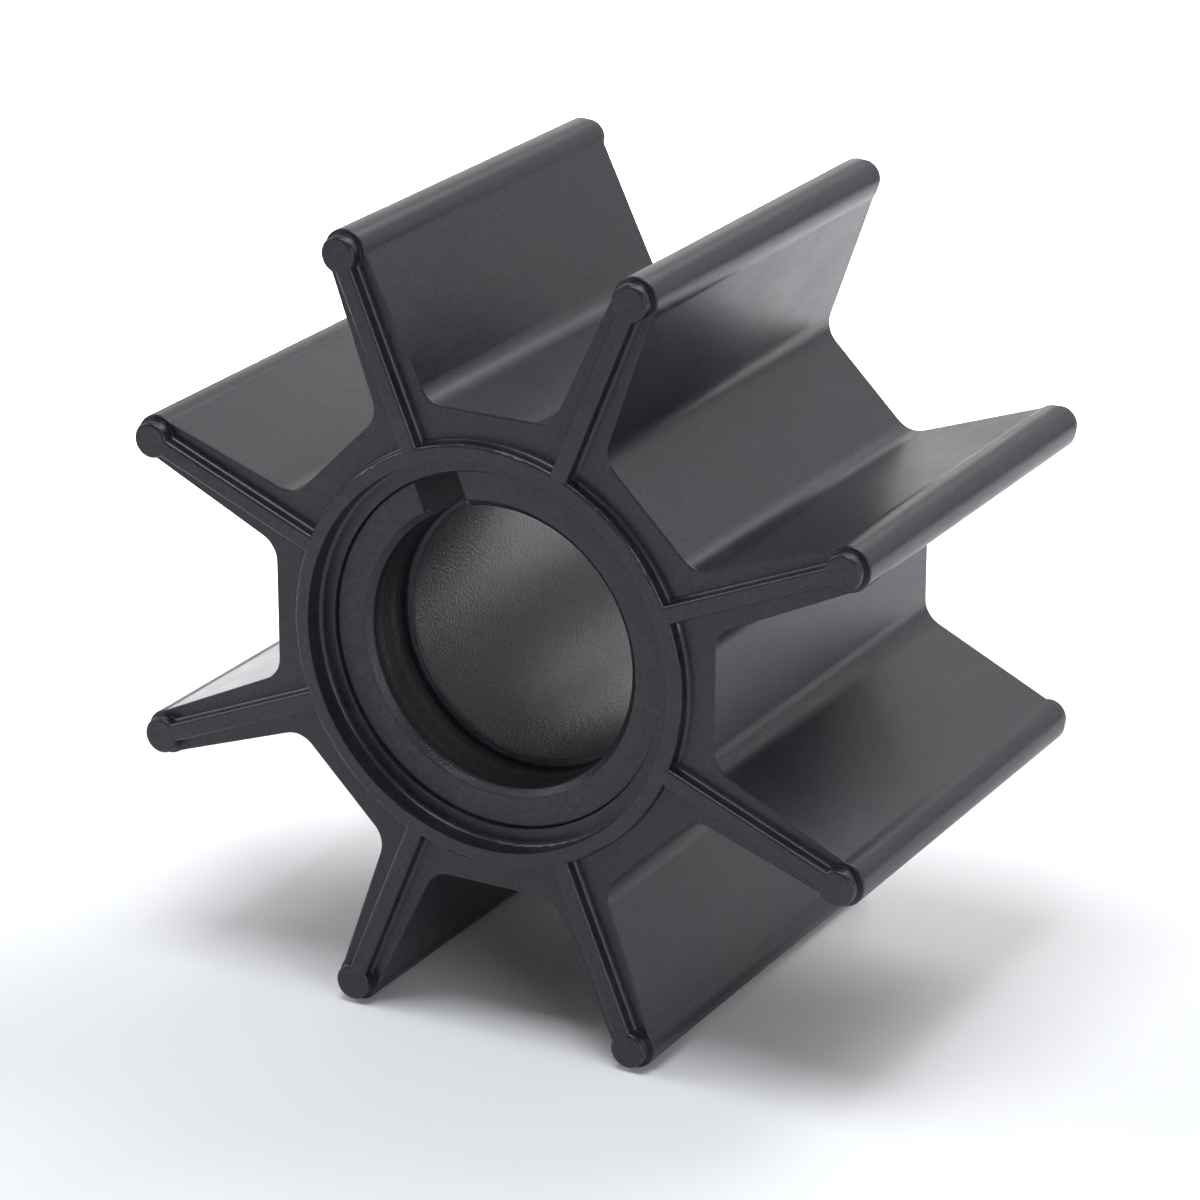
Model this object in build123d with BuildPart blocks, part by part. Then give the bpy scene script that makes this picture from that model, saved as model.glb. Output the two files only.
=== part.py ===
from build123d import *
import os

os.makedirs("parts", exist_ok=True)

# Flexible impeller of a water pump, lying on two neighbouring vane tips.
# The spin axis runs along Y, the open front end looks toward -Y and +Z is up.
# All sizes are in millimetres and degrees.

# overall sizes of the moulding
VANE_COUNT = 8
OUTER_DIAMETER = 66.3
OVERALL_LENGTH = 37.4
VANE_PITCH = 360.0 / VANE_COUNT
FIRST_VANE_ANGLE = VANE_PITCH / 2

# bush bore: a shaft bore with a slightly wider recess at the front, and its keyway
SHAFT_BORE_RADIUS = 10.5
FRONT_RECESS_STEP = 0.5
FRONT_RECESS_DEPTH = 5.25
MOUTH_CHAMFER = 0.6
KEYWAY_WIDTH = 4.0
KEYWAY_ANGLE = FIRST_VANE_ANGLE + 2 * VANE_PITCH
FRONT_RECESS_RADIUS = SHAFT_BORE_RADIUS + FRONT_RECESS_STEP

# bush outside: a spigot at each end of a wider barrel that the rubber grips
BUSH_FACE_WIDTH = 2.95
SPIGOT_EDGE_CHAMFER = 0.12
SPIGOT_LENGTH = 1.5
BARREL_SHOULDER = 0.9
KEYWAY_FLOOR_RELIEF = 0.05
BUSH_SPIGOT_RADIUS = FRONT_RECESS_RADIUS + BUSH_FACE_WIDTH
BUSH_BARREL_RADIUS = BUSH_SPIGOT_RADIUS + BARREL_SHOULDER
KEYWAY_FLOOR_RADIUS = BUSH_SPIGOT_RADIUS + KEYWAY_FLOOR_RELIEF

# rubber around the bush: a ledge a small step above the bush face, and the counterbore wall
LEDGE_WIDTH = 1.3
COUNTERBORE_DEPTH = 1.7
COUNTERBORE_FLOOR_RADIUS = 0.3
BUSH_FACE_STEP = 0.35
COUNTERBORE_RADIUS = BUSH_SPIGOT_RADIUS + LEDGE_WIDTH
LEDGE_HALF_LENGTH = OVERALL_LENGTH / 2 - COUNTERBORE_DEPTH
BUSH_HALF_LENGTH = LEDGE_HALF_LENGTH - BUSH_FACE_STEP
BARREL_HALF_LENGTH = BUSH_HALF_LENGTH - SPIGOT_LENGTH

# raised end land: hub ring, one rib along each vane and a disc on each tip bead
LAND_HEIGHT = 1.05
LAND_RING_WALL = 1.17
LAND_RIB_WIDTH = 1.4
LAND_DISC_INSET = 0.33
LAND_FOOT_FILLET = 0.28
LAND_EDGE_RADIUS = 0.25
BODY_HALF_LENGTH = OVERALL_LENGTH / 2 - LAND_HEIGHT
LAND_RING_RADIUS = COUNTERBORE_RADIUS + LAND_RING_WALL

# eight-sided hub, flat in each valley, with filleted roots of the tapered vanes
HUB_RIM_WIDTH = 2.18
VANE_ROOT_THICKNESS = 4.7
VANE_TIP_THICKNESS = 3.3
ROOT_FILLET = 2.1
BODY_EDGE_RADIUS = 0.12
HUB_FLAT_RADIUS = LAND_RING_RADIUS + HUB_RIM_WIDTH

# round sealing bead along each vane tip, blended into the vane's flanks
BEAD_RADIUS = 1.75
BEAD_NECK_RADIUS = 1.5
BEAD_CENTRE_RADIUS = OUTER_DIAMETER / 2 - BEAD_RADIUS
LAND_DISC_RADIUS = BEAD_RADIUS - LAND_DISC_INSET


def half_thickness(radius):
    """Half the vane thickness at a given distance from the spin axis."""
    share = (radius - HUB_FLAT_RADIUS) / (BEAD_CENTRE_RADIUS - HUB_FLAT_RADIUS)
    return (VANE_ROOT_THICKNESS + share * (VANE_TIP_THICKNESS - VANE_ROOT_THICKNESS)) / 2


def is_disc_arc(edge):
    """True for an arc around one of the end discs."""
    return edge.geom_type == GeomType.CIRCLE and abs(edge.radius - LAND_DISC_RADIUS) < 0.01


def is_body_end(face):
    """True for the flat end of the body that a land stands on."""
    return face.geom_type == GeomType.PLANE and abs(abs(face.center().Y) - BODY_HALF_LENGTH) < 0.01


# tapered vane with its round bead, pointing along +X
with BuildSketch() as vane_outline:
    with BuildLine():
        Polyline(
            (LAND_RING_RADIUS, -half_thickness(LAND_RING_RADIUS)),
            (BEAD_CENTRE_RADIUS, -half_thickness(BEAD_CENTRE_RADIUS)),
            (BEAD_CENTRE_RADIUS, half_thickness(BEAD_CENTRE_RADIUS)),
            (LAND_RING_RADIUS, half_thickness(LAND_RING_RADIUS)),
            close=True,
        )
    make_face()
    with Locations((BEAD_CENTRE_RADIUS, 0)):
        Circle(BEAD_RADIUS)

# land rib with its end disc, pointing along +X
with BuildSketch() as rib_outline:
    with Locations((COUNTERBORE_RADIUS, 0)):
        Rectangle(BEAD_CENTRE_RADIUS - COUNTERBORE_RADIUS, LAND_RIB_WIDTH, align=(Align.MIN, Align.CENTER))
    with Locations((BEAD_CENTRE_RADIUS, 0)):
        Circle(LAND_DISC_RADIUS)

# half section of the rubber's seat: counterbore, ledge, spigot seat and barrel seat
with BuildSketch() as seat_section:
    with BuildLine():
        Polyline(
            (0, -OVERALL_LENGTH),
            (COUNTERBORE_RADIUS, -OVERALL_LENGTH),
            (COUNTERBORE_RADIUS, -LEDGE_HALF_LENGTH),
            (BUSH_SPIGOT_RADIUS, -LEDGE_HALF_LENGTH),
            (BUSH_SPIGOT_RADIUS, -BARREL_HALF_LENGTH),
            (BUSH_BARREL_RADIUS, -BARREL_HALF_LENGTH),
            (BUSH_BARREL_RADIUS, 0),
            (0, 0),
            close=True,
        )
    make_face()
    floor_corner = seat_section.vertices().sort_by_distance((COUNTERBORE_RADIUS, -LEDGE_HALF_LENGTH))[0]
    fillet(floor_corner, radius=COUNTERBORE_FLOOR_RADIUS)

# rubber moulding: hub, vanes, beads and end lands in one piece
with BuildPart() as rubber_impeller:
    with BuildSketch(Plane.XZ) as body_outline:
        RegularPolygon(HUB_FLAT_RADIUS, VANE_COUNT, major_radius=False, rotation=FIRST_VANE_ANGLE)
        with PolarLocations(0, VANE_COUNT, start_angle=FIRST_VANE_ANGLE):
            add(vane_outline.sketch)
        root_corners = body_outline.vertices().sort_by(SortBy.DISTANCE)[: 2 * VANE_COUNT]
        fillet(root_corners, radius=ROOT_FILLET)
        neck_corners = body_outline.vertices().sort_by(SortBy.DISTANCE)[-2 * VANE_COUNT :]
        fillet(neck_corners, radius=BEAD_NECK_RADIUS)
    extrude(amount=BODY_HALF_LENGTH, both=True)
    end_faces = rubber_impeller.faces().filter_by(Axis.Y).sort_by(Axis.Y)
    fillet(end_faces[0].edges() + end_faces[-1].edges(), radius=BODY_EDGE_RADIUS)

    for side in (1, -1):
        with BuildSketch(Plane.XZ.offset(side * BODY_HALF_LENGTH)):
            Circle(LAND_RING_RADIUS)
            with PolarLocations(0, VANE_COUNT, start_angle=FIRST_VANE_ANGLE):
                add(rib_outline.sketch)
        extrude(amount=side * LAND_HEIGHT)

    # the seat of the bush is turned in one cut through both ends
    with BuildSketch(Plane.XY):
        add(seat_section.sketch)
        mirror(about=Plane.XZ)
    revolve(axis=Axis.Y, mode=Mode.SUBTRACT)

    # soft foot where the ribs and the ring stand on the body, soft edge all round the top
    for end in (0, -1):
        body_end = rubber_impeller.faces().filter_by(is_body_end).sort_by(Axis.Y)[end]
        foot_edges = body_end.inner_wires()[0].edges().filter_by(is_disc_arc, reverse=True)
        fillet(foot_edges, radius=LAND_FOOT_FILLET)
        land_top = rubber_impeller.faces().filter_by(Axis.Y).sort_by(Axis.Y)[end]
        fillet(land_top.outer_wire().edges(), radius=LAND_EDGE_RADIUS)
rubber_impeller.part.label = "rubber_impeller"

# keyed bush moulded into the hub
with BuildPart() as hub_bush:
    with BuildSketch(Plane.XY):
        with BuildLine():
            Polyline(
                (FRONT_RECESS_RADIUS + MOUTH_CHAMFER, -BUSH_HALF_LENGTH),
                (BUSH_SPIGOT_RADIUS - SPIGOT_EDGE_CHAMFER, -BUSH_HALF_LENGTH),
                (BUSH_SPIGOT_RADIUS, -BUSH_HALF_LENGTH + SPIGOT_EDGE_CHAMFER),
                (BUSH_SPIGOT_RADIUS, -BARREL_HALF_LENGTH),
                (BUSH_BARREL_RADIUS, -BARREL_HALF_LENGTH),
                (BUSH_BARREL_RADIUS, BARREL_HALF_LENGTH),
                (BUSH_SPIGOT_RADIUS, BARREL_HALF_LENGTH),
                (BUSH_SPIGOT_RADIUS, BUSH_HALF_LENGTH - SPIGOT_EDGE_CHAMFER),
                (BUSH_SPIGOT_RADIUS - SPIGOT_EDGE_CHAMFER, BUSH_HALF_LENGTH),
                (SHAFT_BORE_RADIUS + MOUTH_CHAMFER, BUSH_HALF_LENGTH),
                (SHAFT_BORE_RADIUS, BUSH_HALF_LENGTH - MOUTH_CHAMFER),
                (SHAFT_BORE_RADIUS, -BUSH_HALF_LENGTH + FRONT_RECESS_DEPTH),
                (FRONT_RECESS_RADIUS, -BUSH_HALF_LENGTH + FRONT_RECESS_DEPTH),
                (FRONT_RECESS_RADIUS, -BUSH_HALF_LENGTH + MOUTH_CHAMFER),
                close=True,
            )
        make_face()
    revolve(axis=Axis.Y)

    # keyway along the whole bore, breaking out through both spigots
    with BuildSketch(Plane.XZ):
        with PolarLocations(0, 1, start_angle=KEYWAY_ANGLE):
            Rectangle(KEYWAY_FLOOR_RADIUS, KEYWAY_WIDTH, align=(Align.MIN, Align.CENTER))
    extrude(amount=BUSH_HALF_LENGTH, both=True, mode=Mode.SUBTRACT)
hub_bush.part.label = "hub_bush"

export_step(rubber_impeller.part, "parts/rubber_impeller.step")
export_step(hub_bush.part, "parts/hub_bush.step")
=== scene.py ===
import math

import bpy
from mathutils import Matrix, Vector


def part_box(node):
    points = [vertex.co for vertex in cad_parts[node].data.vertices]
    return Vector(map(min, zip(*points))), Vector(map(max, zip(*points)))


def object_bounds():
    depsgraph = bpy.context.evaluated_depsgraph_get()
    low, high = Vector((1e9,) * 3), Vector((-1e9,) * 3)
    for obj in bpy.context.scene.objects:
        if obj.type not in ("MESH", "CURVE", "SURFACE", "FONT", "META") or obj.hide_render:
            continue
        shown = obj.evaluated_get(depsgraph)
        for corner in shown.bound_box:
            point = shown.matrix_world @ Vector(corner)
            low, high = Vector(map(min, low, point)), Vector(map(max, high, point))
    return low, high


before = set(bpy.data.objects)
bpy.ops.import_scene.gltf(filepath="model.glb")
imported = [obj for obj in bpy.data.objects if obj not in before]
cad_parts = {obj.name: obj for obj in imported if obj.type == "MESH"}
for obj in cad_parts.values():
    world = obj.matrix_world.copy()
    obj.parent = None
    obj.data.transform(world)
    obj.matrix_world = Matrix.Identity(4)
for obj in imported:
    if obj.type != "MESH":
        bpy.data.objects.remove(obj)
cad_low, cad_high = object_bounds()

# Lengths are in metres. The spin axis runs along Y and the open front end looks toward -Y.

# the photograph's camera, placed from the centre of the impeller's front end
VIEW_AZIMUTH = math.radians(29.245)
VIEW_ELEVATION = math.radians(21.018)
VIEW_DISTANCE = 0.3432
VIEW_ASIDE = 0.00853
VIEW_RISE = 0.00435
LENS_MM = 140.6
SENSOR_MM = 36.0
CLIP_START = 0.01

# pale floor and dim surroundings
FLOOR_SIZE = 6.0
FLOOR_GREY = 0.92
FLOOR_ROUGHNESS = 0.8
SURROUND_GREY = 0.25

# soft boxes around the object, and small panels that wash the floor behind it
BOX_DISTANCE = 0.6
BOX_SIZE = 0.26
LOW_BOX_LIFT = 0.07
WASH_DISTANCE = 0.22
WASH_HEIGHT = 0.13
WASH_SIZE = 0.16
WASH_SPREAD = math.radians(90)
COOL = (0.92, 0.95, 1.0)
NEUTRAL = (0.97, 0.98, 1.0)
WARM = (1.0, 0.98, 0.92)

# noises of the materials: size of the features, detail and roughness
GRAIN = (0.00022, 3.0, 0.5)
MOTTLE = (0.0003, 2.0, 0.5)
STREAKS = (0.00035, 2.0, 0.6)
WAVES = (0.009, 2.0, 0.5)
CLOUDS = (0.005, 4.0, 0.6)
SAND = (0.0002, 2.0, 0.7)
LINES = (0.0009, 0.0, 0.5)

# the part of each noise's range that is used, from where an effect starts to where it is full
USUAL_RANGE = (0.3, 0.7)
CLOUD_RANGE = (0.35, 0.65)
SAND_RANGE = (0.45, 0.7)

# both materials: fine bumps, share of broad clouds in the colour, spread of the roughness, edges
GRAIN_HEIGHT = 0.000009
CLOUD_SHARE = 0.35
PATCH_SPREAD = 0.03
EDGE_SAMPLES = 6

# rubber: satin bluish black with draw streaks along the spin axis and a faint bloom
RUBBER_DARK = (0.0020, 0.0026, 0.0058, 1.0)
RUBBER_BLOOM = (0.0205, 0.0220, 0.0305, 1.0)
RUBBER_ROUGHNESS = 0.35
STREAK_SPREAD = 0.02
STREAK_STRETCH = 8.0
STREAK_HEIGHT = 0.000001
WAVE_HEIGHT = 0.00005
RUBBER_EDGE = 0.00012

# bush: smooth face, dull lined front recess whose colour is darkened as painted shade, sandy shaft bore
# and mouth
BUSH_DARK = (0.0035, 0.0043, 0.0082, 1.0)
BUSH_LIGHT = (0.0270, 0.0280, 0.0355, 1.0)
SAND_LIGHT = (0.0220, 0.0228, 0.0255, 1.0)
# painted shade: darker colour given to the recess inside the bore
RECESS_PAINTED_SHADE = (0.0050, 0.0055, 0.0080, 1.0)
BUSH_ROUGHNESS = 0.40
BORE_ROUGHNESS = 0.32
BUSH_SPECULAR = 0.5
RECESS_SPECULAR = 0.3
MOUTH_SPECULAR = 0.42
SAND_HEIGHT = 0.000055
LINE_HEIGHT = 0.00008
BUSH_EDGE = 0.00025
STEP_EDGE = 0.0005

# the bush's front recess, the chamfer of its mouth and the width of the masks' soft edges
BUSH_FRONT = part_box("hub_bush")[0].y
RECESS_RADIUS = 0.0110
MOUTH_CHAMFER = 0.0006
MOUTH_RADIUS = RECESS_RADIUS + MOUTH_CHAMFER
MOUTH_END = BUSH_FRONT + MOUTH_CHAMFER
MASK_EDGE = 0.00005


def new_material(name):
    """A node material with its Principled shader."""
    material = bpy.data.materials.new(name)
    material.use_nodes = True
    tree = material.node_tree
    return material, tree, tree.nodes["Principled BSDF"]


def feed(tree, value, socket):
    """Sets a fixed value on a socket, or links a varying one to it."""
    if isinstance(value, bpy.types.NodeSocket):
        tree.links.new(value, socket)
    else:
        socket.default_value = value


def object_coordinates(tree):
    """Texture coordinates in metres, fixed to the object."""
    return tree.nodes.new("ShaderNodeTexCoord").outputs["Object"]


def scaled(tree, vector, factors):
    """Vector multiplied by one factor per axis."""
    node = tree.nodes.new("ShaderNodeVectorMath")
    node.operation = "MULTIPLY"
    node.inputs[1].default_value = factors
    tree.links.new(vector, node.inputs[0])
    return node.outputs["Vector"]


def axis_distance(tree, vector):
    """Distance of a point from the spin axis."""
    node = tree.nodes.new("ShaderNodeVectorMath")
    node.operation = "LENGTH"
    tree.links.new(scaled(tree, vector, (1.0, 0.0, 1.0)), node.inputs[0])
    return node.outputs["Value"]


def axis_place(tree, vector):
    """Place of a point along the spin axis."""
    node = tree.nodes.new("ShaderNodeSeparateXYZ")
    tree.links.new(vector, node.inputs["Vector"])
    return node.outputs["Y"]


def noise(tree, vector, kind):
    """One of the noises named above."""
    size, detail, roughness = kind
    node = tree.nodes.new("ShaderNodeTexNoise")
    node.inputs["Scale"].default_value = 1.0 / size
    node.inputs["Detail"].default_value = detail
    node.inputs["Roughness"].default_value = roughness
    tree.links.new(vector, node.inputs["Vector"])
    return node.outputs["Fac"]


def remap(tree, value, span, to_low, to_high):
    """Value stretched from its span to another range and clamped."""
    node = tree.nodes.new("ShaderNodeMapRange")
    node.inputs["From Min"].default_value = span[0]
    node.inputs["From Max"].default_value = span[1]
    node.inputs["To Min"].default_value = to_low
    node.inputs["To Max"].default_value = to_high
    tree.links.new(value, node.inputs["Value"])
    return node.outputs["Result"]


def combine(tree, operation, first, second):
    """Two varying values joined by one operation."""
    node = tree.nodes.new("ShaderNodeMath")
    node.operation = operation
    tree.links.new(first, node.inputs[0])
    tree.links.new(second, node.inputs[1])
    return node.outputs["Value"]


def inside(tree, value, limit):
    """Soft mask that is one below a limit and zero above it."""
    return remap(tree, value, (limit - MASK_EDGE, limit + MASK_EDGE), 1.0, 0.0)


def masked(tree, mask, level_outside, level_inside):
    """Value that has one level outside a mask and another inside it."""
    return remap(tree, mask, (0.0, 1.0), level_outside, level_inside)


def blend(tree, factor, first, second):
    """Colour that goes from a first one, fixed or varying, to a fixed second one."""
    node = tree.nodes.new("ShaderNodeMix")
    node.data_type = "RGBA"
    feed(tree, first, node.inputs["A"])
    node.inputs["B"].default_value = second
    tree.links.new(factor, node.inputs["Factor"])
    return node.outputs["Result"]


def soft_edges(tree, radius):
    """Surface normal with every edge slightly rounded, by a fixed or varying radius."""
    node = tree.nodes.new("ShaderNodeBevel")
    node.samples = EDGE_SAMPLES
    feed(tree, radius, node.inputs["Radius"])
    return node.outputs["Normal"]


def bump(tree, pattern, height, normal):
    """Bump of a pattern with a height, laid over another normal."""
    node = tree.nodes.new("ShaderNodeBump")
    node.inputs["Distance"].default_value = height
    tree.links.new(pattern, node.inputs["Height"])
    tree.links.new(normal, node.inputs["Normal"])
    return node.outputs["Normal"]


def speckled(tree, coords, clouds, dark, light):
    """Colour that clouds over and is finely mottled between two fixed colours."""
    broad = remap(tree, clouds, CLOUD_RANGE, 0.0, CLOUD_SHARE)
    fine = remap(tree, noise(tree, coords, MOTTLE), USUAL_RANGE, 0.0, 1.0 - CLOUD_SHARE)
    return blend(tree, combine(tree, "ADD", broad, fine), dark, light)


def patchy(tree, clouds, roughness):
    """Roughness that follows the clouds a little."""
    return remap(tree, clouds, USUAL_RANGE, roughness - PATCH_SPREAD, roughness + PATCH_SPREAD)


def make_rubber():
    """Satin black moulded rubber."""
    material, tree, shader = new_material("moulded_rubber")
    coords = object_coordinates(tree)
    clouds = noise(tree, coords, CLOUDS)
    streaks = noise(tree, scaled(tree, coords, (1.0, 1.0 / STREAK_STRETCH, 1.0)), STREAKS)

    colour = speckled(tree, coords, clouds, RUBBER_DARK, RUBBER_BLOOM)
    tree.links.new(colour, shader.inputs["Base Color"])

    streaky = remap(tree, streaks, USUAL_RANGE, -STREAK_SPREAD, STREAK_SPREAD)
    roughness = combine(tree, "ADD", patchy(tree, clouds, RUBBER_ROUGHNESS), streaky)
    tree.links.new(roughness, shader.inputs["Roughness"])

    normal = soft_edges(tree, RUBBER_EDGE)
    normal = bump(tree, noise(tree, coords, WAVES), WAVE_HEIGHT, normal)
    normal = bump(tree, streaks, STREAK_HEIGHT, normal)
    normal = bump(tree, noise(tree, coords, GRAIN), GRAIN_HEIGHT, normal)
    tree.links.new(normal, shader.inputs["Normal"])
    return material


def bush_masks(tree, coords):
    """Masks of the bush's shaft bore with its step, the whole hole, and the chamfer of its mouth."""
    radius = axis_distance(tree, coords)
    in_bore = inside(tree, radius, RECESS_RADIUS - 2 * MASK_EDGE)
    in_hole = inside(tree, radius, RECESS_RADIUS + 2 * MASK_EDGE)
    in_front = inside(tree, axis_place(tree, coords), MOUTH_END)
    near_mouth = combine(tree, "MULTIPLY", inside(tree, radius, MOUTH_RADIUS), in_front)
    at_mouth = combine(tree, "SUBTRACT", near_mouth, combine(tree, "MULTIPLY", near_mouth, in_hole))
    return in_bore, in_hole, at_mouth


def make_bush():
    """Dark moulded plastic with a dull lined recess whose colour is darkened as painted shade, and a
    sandy bore and mouth.
    """
    material, tree, shader = new_material("bush_plastic")
    coords = object_coordinates(tree)
    clouds = noise(tree, coords, CLOUDS)
    sand = noise(tree, coords, SAND)
    in_bore, in_hole, at_mouth = bush_masks(tree, coords)
    in_recess = combine(tree, "SUBTRACT", in_hole, in_bore)
    sandy = combine(tree, "MAXIMUM", in_bore, at_mouth)

    colour = speckled(tree, coords, clouds, BUSH_DARK, BUSH_LIGHT)
    grains = combine(tree, "MULTIPLY", sandy, remap(tree, sand, SAND_RANGE, 0.0, 1.0))
    colour = blend(tree, grains, colour, SAND_LIGHT)
    # painted shade: the recess inside the bore gets a darker colour
    colour = blend(tree, in_recess, colour, RECESS_PAINTED_SHADE)
    tree.links.new(colour, shader.inputs["Base Color"])

    specular = masked(tree, at_mouth, BUSH_SPECULAR, MOUTH_SPECULAR)
    recess_loss = masked(tree, in_recess, 0.0, BUSH_SPECULAR - RECESS_SPECULAR)
    tree.links.new(combine(tree, "SUBTRACT", specular, recess_loss), shader.inputs["Specular IOR Level"])

    sandy_change = masked(tree, sandy, 0.0, BORE_ROUGHNESS - BUSH_ROUGHNESS)
    roughness = combine(tree, "ADD", patchy(tree, clouds, BUSH_ROUGHNESS), sandy_change)
    tree.links.new(roughness, shader.inputs["Roughness"])

    lines = noise(tree, scaled(tree, coords, (0.0, 1.0, 0.0)), LINES)
    rough_places = combine(tree, "MAXIMUM", in_hole, at_mouth)
    normal = soft_edges(tree, masked(tree, in_hole, BUSH_EDGE, STEP_EDGE))
    normal = bump(tree, combine(tree, "MULTIPLY", lines, in_recess), LINE_HEIGHT, normal)
    normal = bump(tree, noise(tree, coords, GRAIN), GRAIN_HEIGHT, normal)
    normal = bump(tree, combine(tree, "MULTIPLY", sand, rough_places), SAND_HEIGHT, normal)
    tree.links.new(normal, shader.inputs["Normal"])
    return material


def paint(node_name, material):
    """Gives a CAD node one material."""
    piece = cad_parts[node_name]
    piece.data.materials.clear()
    piece.data.materials.append(material)


def grey(level):
    """Opaque grey of one level."""
    return (level, level, level, 1.0)


def bearing(azimuth, elevation):
    """Direction seen from the object; azimuth 0 is its front, 90 degrees its right."""
    return Vector((
        math.sin(azimuth) * math.cos(elevation),
        -math.cos(azimuth) * math.cos(elevation),
        math.sin(elevation),
    ))


def make_floor():
    """Plain pale floor under the lowest point of the object."""
    half = FLOOR_SIZE / 2
    mesh = bpy.data.meshes.new("floor")
    corners = [(-half, -half, 0), (half, -half, 0), (half, half, 0), (-half, half, 0)]
    mesh.from_pydata(corners, [], [(0, 1, 2, 3)])
    floor = bpy.data.objects.new("floor", mesh)
    floor.location = (0, 0, cad_low.z)
    bpy.context.scene.collection.objects.link(floor)
    material, _, shader = new_material("pale_floor")
    shader.inputs["Base Color"].default_value = grey(FLOOR_GREY)
    shader.inputs["Roughness"].default_value = FLOOR_ROUGHNESS
    mesh.materials.append(material)


def add_light(name, place, size, watts, tint):
    """Square area light that looks straight down until it is turned, and isn't seen itself."""
    data = bpy.data.lights.new(name, "AREA")
    data.shape = "SQUARE"
    data.size = size
    data.energy = watts
    data.color = tint
    light = bpy.data.objects.new(name, data)
    light.location = place
    light.visible_camera = False
    bpy.context.scene.collection.objects.link(light)
    return light


def soft_box(name, azimuth, elevation, watts, tint, lift=0.0):
    """Soft box at a bearing in degrees, aimed at the object."""
    place = BOX_DISTANCE * bearing(math.radians(azimuth), math.radians(elevation))
    place.z += lift
    light = add_light(name, place, BOX_SIZE, watts, tint)
    light.rotation_euler = (-place).to_track_quat("-Z", "Y").to_euler()


def floor_wash(name, azimuth, watts):
    """Panel that lights a patch of the floor, which the gloss of the vanes and the bore picks up."""
    place = WASH_DISTANCE * bearing(math.radians(azimuth), 0)
    place.z = WASH_HEIGHT
    light = add_light(name, place, WASH_SIZE, watts, NEUTRAL)
    light.data.spread = WASH_SPREAD


def make_lights():
    """Cool boxes overhead and at the sides, a group behind, and two washes on the floor behind."""
    soft_box("overhead", 0, 78, 1.9, COOL)
    soft_box("right_low", 60, 8, 1.1, COOL, LOW_BOX_LIFT)
    soft_box("left_middle", 285, 30, 1.0, COOL)
    soft_box("rear_high", 160, 54, 1.2, NEUTRAL)
    soft_box("rear_right_middle", 165, 30, 0.16, NEUTRAL)
    soft_box("rear_left_middle", 195, 30, 0.19, NEUTRAL)
    soft_box("rear_right_low", 150, 8, 0.2, NEUTRAL, LOW_BOX_LIFT)
    soft_box("rear_left_low", 210, 8, 0.3, WARM, LOW_BOX_LIFT)
    floor_wash("wash_behind", 180, 0.3)
    floor_wash("wash_behind_left", 220, 0.76)


def make_surround():
    """Dim even surroundings."""
    world = bpy.data.worlds.new("studio")
    world.use_nodes = True
    world.node_tree.nodes["Background"].inputs["Color"].default_value = grey(SURROUND_GREY)
    bpy.context.scene.world = world


def make_camera():
    """The photograph's view of the front end."""
    back = bearing(VIEW_AZIMUTH, VIEW_ELEVATION)
    right = Vector((math.cos(VIEW_AZIMUTH), math.sin(VIEW_AZIMUTH), 0))
    up = back.cross(right)
    data = bpy.data.cameras.new("camera")
    data.lens = LENS_MM
    data.sensor_width = SENSOR_MM
    data.clip_start = CLIP_START
    camera = bpy.data.objects.new("camera", data)
    front_centre = Vector((0, cad_low.y, 0))
    place = front_centre + back * VIEW_DISTANCE + right * VIEW_ASIDE + up * VIEW_RISE
    turn = Matrix((right, up, back)).transposed().to_4x4()
    camera.matrix_world = Matrix.Translation(place) @ turn
    bpy.context.scene.collection.objects.link(camera)
    bpy.context.scene.camera = camera


paint("rubber_impeller", make_rubber())
paint("hub_bush", make_bush())
make_floor()
make_surround()
make_lights()
make_camera()
bpy.context.scene.view_settings.view_transform = "Standard"
